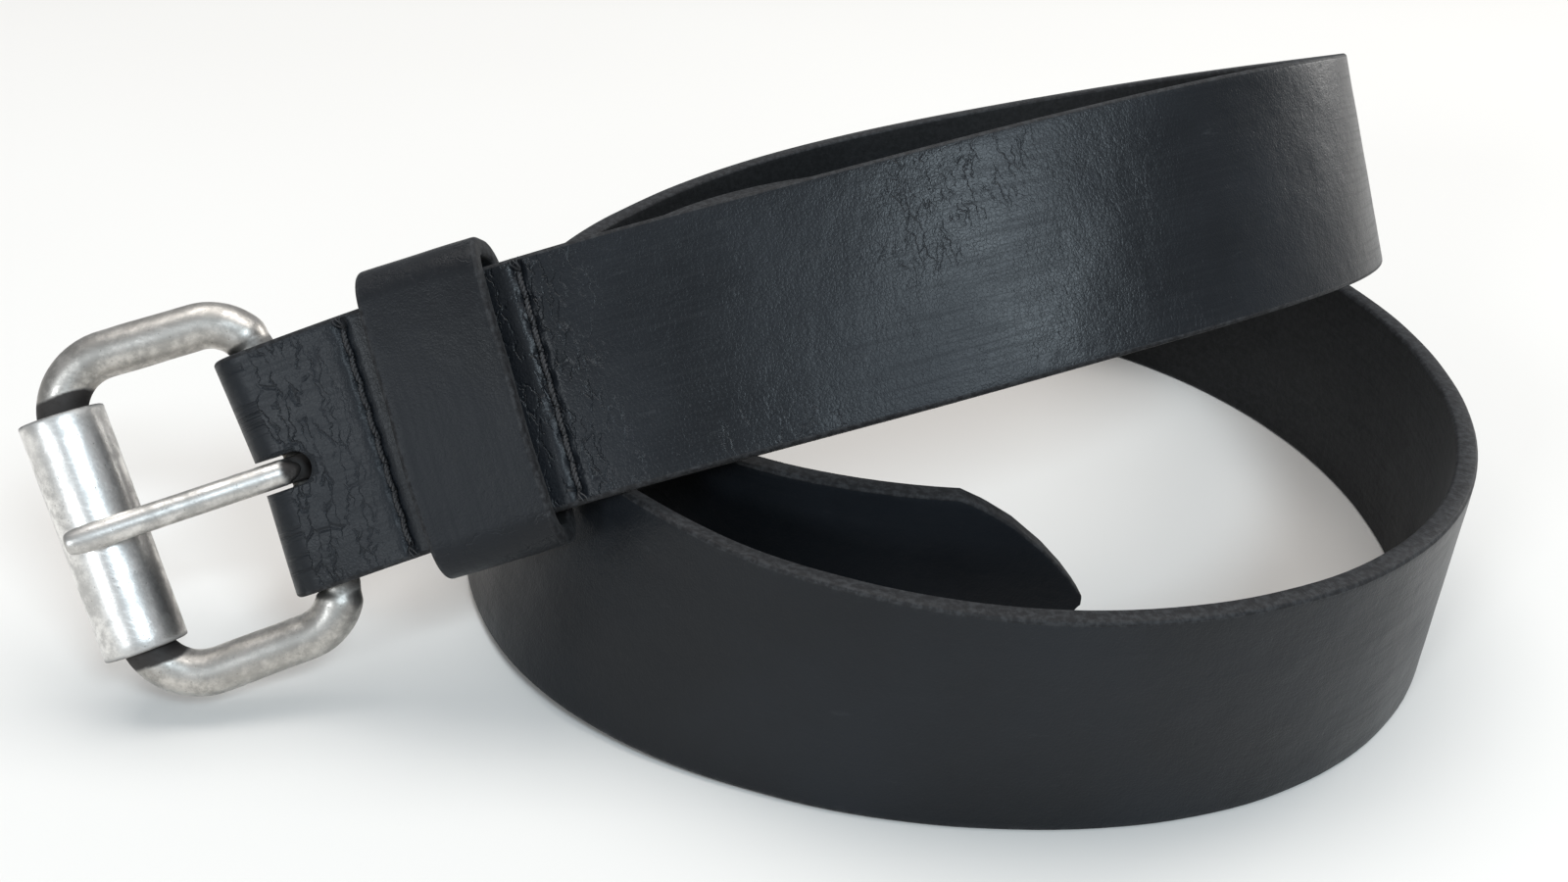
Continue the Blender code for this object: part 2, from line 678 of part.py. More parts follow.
def add_prong(mat):
    path, radii = prong_shank()
    rings = sweep(path, radii, PRONG_SIDES, Vector((0.0, 1.0, 0.0)))
    verts, faces = join_rings(rings, closed=False)
    shank = add_object("buckle_prong", verts, faces, mat)
    shank.matrix_world = buckle_matrix()

    rings = []
    for i in range(EYE_SIDES):
        angle = 2 * math.pi * i / EYE_SIDES
        ring = []
        for radius, y in ((EYE_BORE, -1), (EYE_RADIUS, -1), (EYE_RADIUS, 1), (EYE_BORE, 1)):
            ring.append((radius * math.cos(angle), y * EYE_HALF_WIDTH, radius * math.sin(angle)))
        rings.append(ring)
    verts, faces = join_rings(rings, closed=True)
    tool = cut(shank, "tool_eye", verts, faces)
    shank.modifiers[tool.name].operation = "UNION"
    return shank


def centre_on_floor(objects):
    """Stand the whole belt on the floor with the middle of its outline over the origin."""
    graph = bpy.context.evaluated_depsgraph_get()
    low = Vector((1e9, 1e9, 1e9))
    high = -low
    for obj in objects:
        if obj.hide_render:
            continue
        held = obj.evaluated_get(graph)
        for vertex in held.data.vertices:
            point = obj.matrix_world @ vertex.co
            low = Vector(map(min, low, point))
            high = Vector(map(max, high, point))
    shift = Vector((-(low.x + high.x) / 2, -(low.y + high.y) / 2, -low.z))
    for obj in objects:
        obj.matrix_world = Matrix.Translation(shift) @ obj.matrix_world
    return shift, high - low


def build():
    clear_scene()
    leather = make_material("strap_leather", (0.018, 0.021, 0.026), 0.42, 0.0)
    keeper_leather = make_material("keeper_leather", (0.016, 0.018, 0.022), 0.46, 0.0)
    thread = make_material("waxed_thread", (0.010, 0.010, 0.011), 0.6, 0.0)
    frame_metal = make_material("frame_metal", (0.42, 0.39, 0.36), 0.38, 1.0)
    roller_metal = make_material("roller_metal", (0.50, 0.48, 0.45), 0.34, 1.0)
    prong_metal = make_material("prong_metal", (0.44, 0.42, 0.39), 0.36, 1.0)
    staple_steel = make_material("staple_steel", (0.55, 0.55, 0.56), 0.35, 1.0)
    add_strap(leather)
    add_threads(thread)
    add_keeper(keeper_leather, staple_steel)
    add_frame(frame_metal)
    add_roller(roller_metal)
    add_prong(prong_metal)
    bpy.context.view_layer.update()
    shift, size = centre_on_floor(list(bpy.data.objects))
    print("shift", [round(x / MM, 3) for x in shift], "size", [round(x / MM, 2) for x in size])


build()
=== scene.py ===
"""A coiled leather belt with a roller buckle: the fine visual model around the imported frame."""
import math

import bmesh
import bpy
from mathutils import Matrix, Vector, noise


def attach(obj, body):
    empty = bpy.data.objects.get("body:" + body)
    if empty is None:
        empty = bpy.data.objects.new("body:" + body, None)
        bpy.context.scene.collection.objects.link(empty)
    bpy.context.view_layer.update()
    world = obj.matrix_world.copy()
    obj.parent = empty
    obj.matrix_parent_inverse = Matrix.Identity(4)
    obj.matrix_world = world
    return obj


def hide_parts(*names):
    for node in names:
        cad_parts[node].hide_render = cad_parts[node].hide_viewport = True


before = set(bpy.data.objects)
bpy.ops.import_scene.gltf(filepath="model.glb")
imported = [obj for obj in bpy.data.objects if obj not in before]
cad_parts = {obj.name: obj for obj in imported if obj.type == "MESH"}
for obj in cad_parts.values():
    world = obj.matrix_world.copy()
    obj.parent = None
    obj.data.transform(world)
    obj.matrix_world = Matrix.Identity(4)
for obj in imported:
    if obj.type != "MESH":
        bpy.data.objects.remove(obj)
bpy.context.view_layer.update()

MM = 0.001
CM = 0.01

# ---- the belt's sizes, the same as in the part ------------------------------------------
STRAP_WIDTH = 38.0 * MM
STRAP_THICK = 3.4 * MM
STRAP_LENGTH = 1112.0 * MM
START_HEADING = 4.0
BENDS = (
    (0, 0.4), (100, 1.5), (140, 3.7), (170, 6.2), (200, 8.5), (240, 10.3), (280, 9.4),
    (330, 7.2), (380, 5.9), (440, 5.2), (500, 8.3), (560, 6.2), (620, 6.0), (680, 8.1),
    (740, 6.0), (800, 6.3), (860, 8.8), (920, 6.3), (980, 8.3), (1040, 10.6), (1112, 3.6),
)
LEANS = (
    (0, 24.0, -25.5), (60, 23.0, -35.0), (120, 24.0, -32.0), (180, 19.0, -24.5),
    (240, 17.0, -18.0), (300, 16.5, -11.5), (360, 11.0, -4.0), (420, 3.0, 0.5),
    (460, -5.5, 0.8), (500, -11.3, -3.2), (540, -12.2, -13.0), (580, -1.8, -5.7), (620, 0.0, 0.0),
)
CROSSING_S = 54.0 * MM
CROSSING_REACH = 100.0 * MM
CROSSING_LIFT = 2.3 * MM
TIP_LENGTH = 21.0 * MM
TIP_PROFILE = ((0.0, 0.04), (0.06, 0.14), (0.17, 0.30), (0.35, 0.52), (0.60, 0.76), (0.82, 0.91), (1.0, 1.0))
ROUTE_STEP = 1.0 * MM

BAR_RADIUS = 3.0 * MM
FOLD_CLEARANCE = 0.6 * MM
FOLD_THICK = 2.2 * MM
FOLD_INNER = BAR_RADIUS + FOLD_CLEARANCE
FOLD_OUTER = FOLD_INNER + FOLD_THICK
FOLD_BOW = 1.1 * MM
BAR_S = FOLD_OUTER + FOLD_BOW
BAR_H = STRAP_THICK / 2 - FOLD_OUTER
SKIVE_START = BAR_S + 2.0 * MM
SKIVE_END = BAR_S + 11.0 * MM
BACK_CLOSE_START = BAR_S + 2.2 * MM
BACK_CLOSE_END = BAR_S + 13.5 * MM
PLY_GAP = 0.3 * MM

STITCH_ROWS = (("front", 22.0 * MM), ("rear", 49.2 * MM))
STITCH_COUNT = 9
STITCH_INSET = 2.2 * MM
BACK_PLY_END = STITCH_ROWS[1][1] + 3.0 * MM
BACK_PLY_TAPER = 1.2 * MM
SLOT_HALF_WIDTH = 2.6 * MM
SLOT_END = BAR_S + 4.5 * MM
HOLE_RADIUS = 2.5 * MM
HOLE_COUNT = 5
HOLE_FIRST = 95.0 * MM
HOLE_PITCH = 25.0 * MM

KEEPER_S = 35.6 * MM
KEEPER_BAND_WIDTH = 19.0 * MM
KEEPER_THICK = 3.0 * MM
KEEPER_SIDE_GAP = 1.9 * MM
KEEPER_BACK_GAP = 1.8 * MM
KEEPER_FRONT_GAP = 1.5 * MM
KEEPER_CORNER = 3.2 * MM
KEEPER_BULGE = 0.8 * MM
KEEPER_JOINT_GAP = 0.4 * MM
STAPLE_RADIUS = 0.5 * MM
STAPLE_HALF_SPAN = 4.0 * MM
STAPLE_LIFT = 0.7 * MM

BUCKLE_ANGLE = 15.0
BAR_TO_ROLLER = 30.3 * MM
FRONT_HALF_HEIGHT = 25.6 * MM
REAR_HALF_HEIGHT = 24.9 * MM
FRONT_CORNER = 9.0 * MM
REAR_CORNER = 7.7 * MM
WIRE_RADIUS = 3.6 * MM
WIRE_GROW_START = 19.6 * MM
WIRE_GROW_END = 21.4 * MM
NECK_RADIUS = 1.8 * MM
NECK_HALF = 2.4 * MM
NECK_STEP = 0.7 * MM
ROLLER_RADIUS = 6.2 * MM
ROLLER_BORE = 4.9 * MM
ROLLER_LENGTH = 37.4 * MM
PRONG_RADIUS = 2.05 * MM
PRONG_ROLLER_GAP = 0.2 * MM
PRONG_ROOT = -0.8 * MM
PRONG_ROOT_HEIGHT = 4.05 * MM
PRONG_OVERHANG = 3.2 * MM
EYE_BORE = 2.25 * MM
EYE_RADIUS = 3.35 * MM
EYE_HALF_WIDTH = 2.0 * MM

# ---- detail of the visual model ----------------------------------------------------------
EDGE_ROUND = 0.75 * MM
EDGE_POINTS = 4
COLUMNS = 48
LEATHER_SMOOTH_ANGLE = 60.0
METAL_SMOOTH_ANGLE = 50.0
TWIST_RADIUS = 0.19 * MM
TWIST_PITCH = 1.5 * MM
STRAND_RADIUS = 0.26 * MM
STITCH_GROOVE_DEPTH = 0.42 * MM
STITCH_GROOVE_HALF = 1.7 * MM
STITCH_PIT_DEPTH = 0.85 * MM
STITCH_PIT_RADIUS = 1.35 * MM
STRAP_EDGE_WEAR = 1.6 * MM
KEEPER_EDGE_WEAR = 1.8 * MM
KEEPER_ROUND = 0.8 * MM
ROLLER_SEAM_DEPTH = 0.22 * MM
ROLLER_SEAM_ANGLE = 250.0
ROLLER_END_ROUND = 0.35 * MM
GRIME_AT_ROLLER = 19.6 * MM
FRAYS = 5
WORLD_STRENGTH = 0.40
CAMERA_AT = (-0.0018, -0.2653, 0.1655)
CAMERA_PITCH = 30.2
CAMERA_ROLL = 3.37
CAMERA_LENS = 36.74


# ---- camera, floor and light -------------------------------------------------------------
def add_camera():
    data = bpy.data.cameras.new("view_camera")
    data.lens = CAMERA_LENS
    data.sensor_width = 36.0
    data.clip_start = 0.01
    camera = bpy.data.objects.new("view_camera", data)
    bpy.context.scene.collection.objects.link(camera)
    turn = Matrix.Rotation(math.radians(90.0 - CAMERA_PITCH), 4, "X")
    roll = Matrix.Rotation(math.radians(CAMERA_ROLL), 4, "Z")
    camera.matrix_world = Matrix.Translation(CAMERA_AT) @ turn @ roll
    bpy.context.scene.camera = camera


def add_area_light(name, place, target, width, height, power, color):
    data = bpy.data.lights.new(name, "AREA")
    data.shape = "RECTANGLE"
    data.size = width
    data.size_y = height
    data.energy = power
    data.color = color
    lamp = bpy.data.objects.new(name, data)
    bpy.context.scene.collection.objects.link(lamp)
    look = Vector(target) - Vector(place)
    lamp.matrix_world = Matrix.Translation(place) @ look.to_track_quat("-Z", "Y").to_matrix().to_4x4()


# ---- small helpers -----------------------------------------------------------------------
def smooth(value):
    value = min(1.0, max(0.0, value))
    return value * value * (3.0 - 2.0 * value)


def mix(start, end, share):
    return start + (end - start) * share


def straight_table(table, x):
    for (x0, y0), (x1, y1) in zip(table, table[1:]):
        if x <= x1:
            return mix(y0, y1, max(0.0, x - x0) / (x1 - x0))
    return table[-1][1]


def curved_table(table, x, column):
    xs = [row[0] for row in table]
    ys = [row[column] for row in table]
    if x >= xs[-1]:
        return ys[-1]
    slopes = [(ys[i + 1] - ys[i]) / (xs[i + 1] - xs[i]) for i in range(len(xs) - 1)]
    tangents = [slopes[0]]
    for i in range(1, len(slopes)):
        before = xs[i] - xs[i - 1]
        after = xs[i + 1] - xs[i]
        tangents.append((slopes[i - 1] * after + slopes[i] * before) / (before + after))
    tangents.append(0.0)
    i = max(k for k in range(len(slopes)) if xs[k] <= max(x, xs[0]))
    span = xs[i + 1] - xs[i]
    u = (x - xs[i]) / span
    return (
        (1 + 2 * u) * (1 - u) ** 2 * ys[i]
        + u * (1 - u) ** 2 * span * tangents[i]
        + u * u * (3 - 2 * u) * ys[i + 1]
        + u * u * (u - 1) * span * tangents[i + 1]
    )


def route_axes(s, heading):
    station = s / MM
    lean_x = math.tan(math.radians(curved_table(LEANS, station, 1)))
    lean_y = math.tan(math.radians(curved_table(LEANS, station, 2)))
    across = Vector((-lean_x, -lean_y, 1.0)).normalized()
    rise = lean_x * math.cos(heading) + lean_y * math.sin(heading)
    along = Vector((math.cos(heading), math.sin(heading), rise)).normalized()
    return along, across


def build_route():
    count = int(round(STRAP_LENGTH / ROUTE_STEP)) + 1
    heading = math.radians(START_HEADING)
    position = Vector((0.0, 0.0, 0.0))
    rows = []
    before = None
    for i in range(count):
        turn = straight_table(BENDS, i * ROUTE_STEP / MM)
        if i:
            heading += math.radians((turn + last_turn) / 2) * ROUTE_STEP / CM
        along, across = route_axes(i * ROUTE_STEP, heading)
        if before is not None:
            position = position + (before + along) * (ROUTE_STEP / 2)
        rows.append((position, along, across))
        before = along
        last_turn = turn
    lift = STRAP_WIDTH / 2 - rows[-1][0].z
    lifted = []
    for i, (point, along, across) in enumerate(rows):
        from_crossing = (i * ROUTE_STEP - CROSSING_S) / CROSSING_REACH
        ride = CROSSING_LIFT * (1.0 - smooth(abs(from_crossing)))
        raised = point + Vector((0.0, 0.0, lift + ride))
        out = along.cross(across)
        lowest = raised.z - across.z * STRAP_WIDTH / 2 - abs(out.z) * STRAP_THICK / 2
        raised.z -= min(0.0, lowest)
        lifted.append((raised, along, across))
    return lifted


ROUTE = build_route()
BAR_ORIGIN = Vector((-0.075852, -0.057029, 0.034582))  # pos_m of frame_swing
SHIFT = Vector((0.0, 0.0, 0.0))  # set once the buckle's own place is known


def strap_frame(s):
    place = s / ROUTE_STEP
    i = int(min(max(math.floor(place), 0), len(ROUTE) - 2))
    share = place - i
    p0, t0, w0 = ROUTE[i]
    p1, t1, w1 = ROUTE[i + 1]
    if share < 0.0:
        return p0 + t0 * s + SHIFT, t0, w0, t0.cross(w0).normalized()
    along = t0.lerp(t1, share).normalized()
    across = w0.lerp(w1, share).normalized()
    return p0.lerp(p1, share) + SHIFT, along, across, along.cross(across).normalized()


def strap_point(s, v, h):
    point, _, across, out = strap_frame(s)
    return point + across * v + out * h


def strap_matrix(s):
    point, along, across, out = strap_frame(s)
    return Matrix.Translation(point) @ Matrix((along, across, out)).transposed().to_4x4()


def half_width(s):
    from_tip = (STRAP_LENGTH - s) / TIP_LENGTH
    return STRAP_WIDTH / 2 * (1.0 if from_tip >= 1.0 else straight_table(TIP_PROFILE, from_tip))


def front_thickness(s):
    return mix(FOLD_THICK, STRAP_THICK, smooth((s - SKIVE_START) / (SKIVE_END - SKIVE_START)))


def back_middle(s):
    open_height = BAR_H - FOLD_INNER - FOLD_THICK / 2
    flat_height = -STRAP_THICK / 2 - PLY_GAP - FOLD_THICK / 2
    closing = smooth((s - BACK_CLOSE_START) / (BACK_CLOSE_END - BACK_CLOSE_START))
    return mix(open_height, flat_height, closing)


def bow(s, share):
    fade = 1.0 - smooth((s - BAR_S) / (BACK_CLOSE_END - BAR_S))
    return FOLD_BOW * math.sqrt(share * share + 0.01) * fade


def stitch_positions():
    reach = STRAP_WIDTH / 2 - STITCH_INSET
    return [mix(-reach, reach, i / (STITCH_COUNT - 1)) for i in range(STITCH_COUNT)]


# ---- mesh helpers ------------------------------------------------------------------------
def skin_faces(rings, count, closed):
    faces = []
    for i in range(rings if closed else rings - 1):
        a = i * count
        b = ((i + 1) % rings) * count
        for j in range(count):
            k = (j + 1) % count
            faces.append((a + j, a + k, b + k, b + j))
    if not closed:
        faces.append(tuple(range(count - 1, -1, -1)))
        faces.append(tuple(range((rings - 1) * count, rings * count)))
    return faces


def add_mesh(name, verts, faces, mat, attributes=None, smooth_angle=40.0):
    mesh = bpy.data.meshes.new(name)
    mesh.from_pydata([tuple(v) for v in verts], [], faces)
    for key, values in (attributes or {}).items():
        layer = mesh.attributes.new(key, "FLOAT", "POINT")
        layer.data.foreach_set("value", values)
    bm = bmesh.new()
    bm.from_mesh(mesh)
    bmesh.ops.recalc_face_normals(bm, faces=bm.faces)
    bm.to_mesh(mesh)
    bm.free()
    mesh.materials.append(mat)
    mesh.shade_smooth()
    mesh.set_sharp_from_angle(angle=math.radians(smooth_angle))
    obj = bpy.data.objects.new(name, mesh)
    bpy.context.scene.collection.objects.link(obj)
    return obj


def sweep(path, radii, sides, side_axis, closed=False):
    """Round rings along a flat path; side_axis is square to the path's plane."""
    verts = []
    count = len(path)
    for i, point in enumerate(path):
        before = path[(i - 1) % count] if closed or i else path[i]
        after = path[(i + 1) % count] if closed or i < count - 1 else path[i]
        along = (after - before).normalized()
        out = side_axis.cross(along).normalized()
        for k in range(sides):
            angle = 2 * math.pi * (k + 0.5) / sides
            verts.append(point + (out * math.cos(angle) + side_axis * math.sin(angle)) * radii[i])
    return verts, skin_faces(count, sides, closed)


def join_parts(parts):
    verts, faces = [], []
    for part_verts, part_faces in parts:
        base = len(verts)
        verts += list(part_verts)
        faces += [tuple(base + i for i in face) for face in part_faces]
    return verts, faces


def prism(outline, low, high, matrix):
    verts = [matrix @ Vector((x, y, z)) for z in (low, high) for x, y in outline]
    return verts, skin_faces(2, len(outline), False)


def cut_and_apply(target, tool_verts, tool_faces):
    tool = add_mesh("tool", tool_verts, tool_faces, target.data.materials[0])
    modifier = target.modifiers.new("cut", "BOOLEAN")
    modifier.operation = "DIFFERENCE"
    modifier.solver = "EXACT"
    modifier.object = tool
    graph = bpy.context.evaluated_depsgraph_get()
    mesh = bpy.data.meshes.new_from_object(target.evaluated_get(graph))
    target.modifiers.clear()
    target.data = mesh
    bpy.data.objects.remove(tool, do_unlink=True)


# ---- materials ---------------------------------------------------------------------------
class Tree:
    """A short way to build a material's nodes."""

    def __init__(self, name):
        self.mat = bpy.data.materials.new(name)
        self.mat.use_nodes = True
        self.nodes = self.mat.node_tree.nodes
        self.links = self.mat.node_tree.links
        self.shader = self.nodes["Principled BSDF"]

    def link(self, value, socket):
        if isinstance(value, bpy.types.NodeSocket):
            self.links.new(value, socket)
        else:
            socket.default_value = value

    def node(self, kind, inputs=None, output=0, **settings):
        made = self.nodes.new(kind)
        for key, value in settings.items():
            setattr(made, key, value)
        for key, value in (inputs or {}).items():
            self.link(value, made.inputs[key])
        return made.outputs[output]

    def math(self, operation, a, b=0.0):
        return self.node("ShaderNodeMath", {0: a, 1: b}, operation=operation)

    def times(self, a, b):
        return self.math("MULTIPLY", a, b)

    def plus(self, a, b):
        return self.math("ADD", a, b)

    def attribute(self, name):
        return self.node("ShaderNodeAttribute", output="Fac", attribute_name=name)

    def noise(self, vector, scale, detail=3.0, rough=0.55):
        inputs = {"Vector": vector, "Scale": scale, "Detail": detail, "Roughness": rough}
        return self.node("ShaderNodeTexNoise", inputs)

    def cells(self, vector, scale, feature="F1"):
        return self.node("ShaderNodeTexVoronoi", {"Vector": vector, "Scale": scale}, feature=feature)

    def band(self, value, low, high, to_low=0.0, to_high=1.0):
        return self.node(
            "ShaderNodeMapRange",
            {"Value": value, "From Min": low, "From Max": high, "To Min": to_low, "To Max": to_high},
            interpolation_type="SMOOTHSTEP",
        )

    def blend(self, share, a, b):
        return self.node("ShaderNodeMix", {0: share, 6: a, 7: b}, output=2, data_type="RGBA")

    def vector(self, x, y, z=0.0):
        return self.node("ShaderNodeCombineXYZ", {"X": x, "Y": y, "Z": z})

    def place(self):
        return self.node("ShaderNodeTexCoord", output="Object")

    def stretched(self, vector, scale):
        return self.node("ShaderNodeMapping", {"Vector": vector, "Scale": scale})

    def bump(self, height, strength, distance, normal=None):
        inputs = {"Height": height, "Strength": strength, "Distance": distance}
        if normal is not None:
            inputs["Normal"] = normal
        return self.node("ShaderNodeBump", inputs)


def leather_material(name, tint, gloss):
    """Waxed black leather: fine grain, cross creases where it folds, scuffs, fibrous cut edges."""
    t = Tree(name)
    place = t.place()
    along = t.attribute("along")
    across = t.attribute("across")
    kind = t.attribute("side")
    wear = t.attribute("wear")
    flat = t.vector(along, across)
    edge = t.times(t.band(kind, 0.2, 0.5), t.band(kind, 1.8, 1.5))
    flesh = t.band(kind, 1.5, 1.8)

    cloud = t.noise(place, 22.0, 4.0)
    scuff = t.noise(t.stretched(flat, (90.0, 420.0, 1.0)), 1.0, 5.0, 0.7)
    scuff_mask = t.band(scuff, 0.62, 0.74)
    streaks = t.noise(t.stretched(flat, (45.0, 1400.0, 1.0)), 1.0, 3.0, 0.6)
    fibres = t.noise(place, 900.0, 4.0, 0.7)

    base = t.blend(t.band(cloud, 0.35, 0.7), tint, tuple(c * 1.75 for c in tint[:3]) + (1.0,))
    base = t.blend(t.times(scuff_mask, 0.22), base, (0.045, 0.048, 0.052, 1.0))
    worn = t.times(wear, t.band(fibres, 0.45, 0.7, 0.05, 0.5))
    base = t.blend(worn, base, (0.035, 0.036, 0.038, 1.0))
    cut = t.blend(t.band(fibres, 0.4, 0.65), (0.008, 0.008, 0.009, 1.0), (0.026, 0.027, 0.029, 1.0))
    base = t.blend(edge, base, cut)
    back = t.blend(t.band(fibres, 0.35, 0.7), (0.004, 0.0045, 0.005, 1.0), (0.011, 0.0115, 0.0125, 1.0))
    base = t.blend(flesh, base, back)
    t.link(base, t.shader.inputs["Base Color"])

    rough = t.band(cloud, 0.3, 0.75, gloss - 0.06, gloss + 0.08)
    rough = t.plus(rough, t.times(scuff_mask, 0.14))
    rough = t.plus(rough, t.times(t.band(streaks, 0.45, 0.7), 0.06))
    rough = t.plus(rough, t.times(edge, 0.22))
    rough = t.plus(rough, t.times(flesh, 0.30))
    t.link(t.math("MINIMUM", rough, 0.95), t.shader.inputs["Roughness"])
    t.shader.inputs["Specular IOR Level"].default_value = 0.24
    t.shader.inputs["Sheen Weight"].default_value = 0.02
    t.shader.inputs["Sheen Roughness"].default_value = 0.5

    pebble = t.cells(flat, 1700.0, "DISTANCE_TO_EDGE")
    pebble = t.band(pebble, 0.0, 0.22)
    pores = t.band(t.cells(t.stretched(flat, (900.0, 700.0, 1.0)), 1.0), 0.05, 0.25)
    drift = t.times(t.noise(flat, 420.0, 3.0), 0.0030)
    warped = t.vector(t.plus(along, drift), t.times(across, 0.30))
    crease = t.band(t.cells(warped, 700.0, "DISTANCE_TO_EDGE"), 0.0, 0.09)
    broken = t.band(t.noise(t.stretched(flat, (330.0, 170.0, 1.0)), 1.0, 3.0), 0.42, 0.60)
    fold_zone = t.attribute("creased")
    crease_depth = t.times(t.times(t.math("SUBTRACT", 1.0, crease), broken), fold_zone)
    fine = t.plus(t.times(pebble, 0.25), t.times(pores, 0.35))
    fine = t.plus(fine, t.times(t.noise(place, 480.0, 5.0, 0.65), 0.7))
    fine = t.plus(fine, t.times(t.noise(place, 2600.0, 2.0), 0.3))
    fine = t.plus(fine, t.times(t.times(fibres, 1.5), t.plus(edge, flesh)))
    bumped = t.bump(fine, 0.45, 0.00010)
    bumped = t.bump(t.times(crease_depth, -1.0), 0.75, 0.00030, bumped)
    bumped = t.bump(t.noise(place, 90.0, 4.0, 0.6), 0.30, 0.0010, bumped)
    t.link(bumped, t.shader.inputs["Normal"])
    return t.mat


def metal_material(name, color, roughness):
    """Old nickel plating: mottled, scratched along and across, dark in the corners."""
    t = Tree(name)
    place = t.place()
    grime = t.attribute("grime")
    mottle = t.noise(place, 260.0, 6.0, 0.7)
    patch = t.noise(place, 70.0, 3.0)
    scratch = t.noise(t.stretched(place, (240.0, 3600.0, 1500.0)), 1.0, 3.0, 0.7)
    scratch_b = t.noise(t.stretched(place, (2600.0, 260.0, 2600.0)), 1.0, 3.0, 0.7)
    dark = tuple(c * 0.60 for c in color[:3]) + (1.0,)
    light = tuple(min(1.0, c * 1.18) for c in color[:3]) + (1.0,)
    base = t.blend(t.band(mottle, 0.38, 0.66), dark, light)
    base = t.blend(t.band(patch, 0.35, 0.7, 0.0, 0.45), base, color)
    pits = t.band(t.cells(place, 900.0), 0.0, 0.16)
    base = t.blend(t.times(t.math("SUBTRACT", 1.0, pits), 0.55), base, (0.10, 0.09, 0.08, 1.0))
    soot = t.band(t.plus(grime, t.times(t.math("SUBTRACT", mottle, 0.5), 0.7)), 0.35, 0.75)
    base = t.blend(soot, base, (0.030, 0.026, 0.024, 1.0))
    t.link(base, t.shader.inputs["Base Color"])
    metallic = t.math("SUBTRACT", 1.0, t.times(soot, 0.7))
    t.link(metallic, t.shader.inputs["Metallic"])
    rough = t.band(mottle, 0.3, 0.7, roughness + 0.12, roughness - 0.05)
    rough = t.plus(rough, t.times(t.band(scratch, 0.5, 0.7), 0.10))
    rough = t.plus(rough, t.times(soot, 0.3))
    t.link(rough, t.shader.inputs["Roughness"])
    height = t.plus(t.times(mottle, 0.5), t.times(scratch, 0.5))
    height = t.plus(height, t.times(scratch_b, 0.4))
    height = t.plus(height, t.times(pits, 0.5))
    t.link(t.bump(height, 0.30, 0.00010), t.shader.inputs["Normal"])
    return t.mat


def thread_material():
    t = Tree("waxed_thread_fine")
    place = t.place()
    fuzz = t.noise(place, 2400.0, 3.0)
    base = t.blend(t.band(fuzz, 0.35, 0.65), (0.006, 0.006, 0.007, 1.0), (0.030, 0.030, 0.032, 1.0))
    t.link(base, t.shader.inputs["Base Color"])
    t.link(t.band(fuzz, 0.3, 0.7, 0.45, 0.8), t.shader.inputs["Roughness"])
    t.link(t.bump(fuzz, 0.5, 0.00008), t.shader.inputs["Normal"])
    return t.mat


def floor_material():
    t = Tree("pale_floor")
    place = t.place()
    base = t.blend(t.noise(place, 3.0, 2.0), (0.72, 0.695, 0.665, 1.0), (0.77, 0.75, 0.72, 1.0))
    t.link(base, t.shader.inputs["Base Color"])
    t.shader.inputs["Roughness"].default_value = 0.9
    t.shader.inputs["Specular IOR Level"].default_value = 0.1
    return t.mat


# ---- strap -------------------------------------------------------------------------------
def corner_angles(count):
    """Angles inside a quarter turn, rising; the corner's end points are left out."""
    return [math.pi / 2 * i / (count + 1) for i in range(1, count + 1)]


def section_pattern():
    """One ring's points: (share across, turn at the edge, depth turn, side), where side is
    0 on the grain, 1 on a cut edge and 2 on the flesh."""
    points = []
    rising = corner_angles(EDGE_POINTS)
    falling = rising[::-1]
    for i in range(COLUMNS + 1):
        points.append((-1.0 + 2.0 * i / COLUMNS, 0.0, 0.0, 0.0))
    points += [(1.0, math.sin(angle), 1.0 - math.cos(angle), 1.0) for angle in rising]
    points += [(1.0, math.sin(angle), -1.0 + math.cos(angle), 1.0) for angle in falling]
    for i in range(COLUMNS + 1):
        points.append((1.0 - 2.0 * i / COLUMNS, 0.0, 0.0, 2.0))
    points += [(-1.0, -math.sin(angle), -1.0 + math.cos(angle), 1.0) for angle in rising]
    points += [(-1.0, -math.sin(angle), 1.0 - math.cos(angle), 1.0) for angle in falling]
    return points


PATTERN = section_pattern()


def surface_dent(s, v):
    """Depth of the grain side's dents: stitch grooves and holes."""
    dent = 0.0
    for _, row_s in STITCH_ROWS:
        distance = abs(s - row_s)
        if distance < 3.0 * MM:
            dent += STITCH_GROOVE_DEPTH * (1.0 - smooth(distance / STITCH_GROOVE_HALF))
            for hole in stitch_positions():
                reach = math.hypot(s - row_s, v - hole)
                dent += STITCH_PIT_DEPTH * (1.0 - smooth(reach / STITCH_PIT_RADIUS))
    return dent


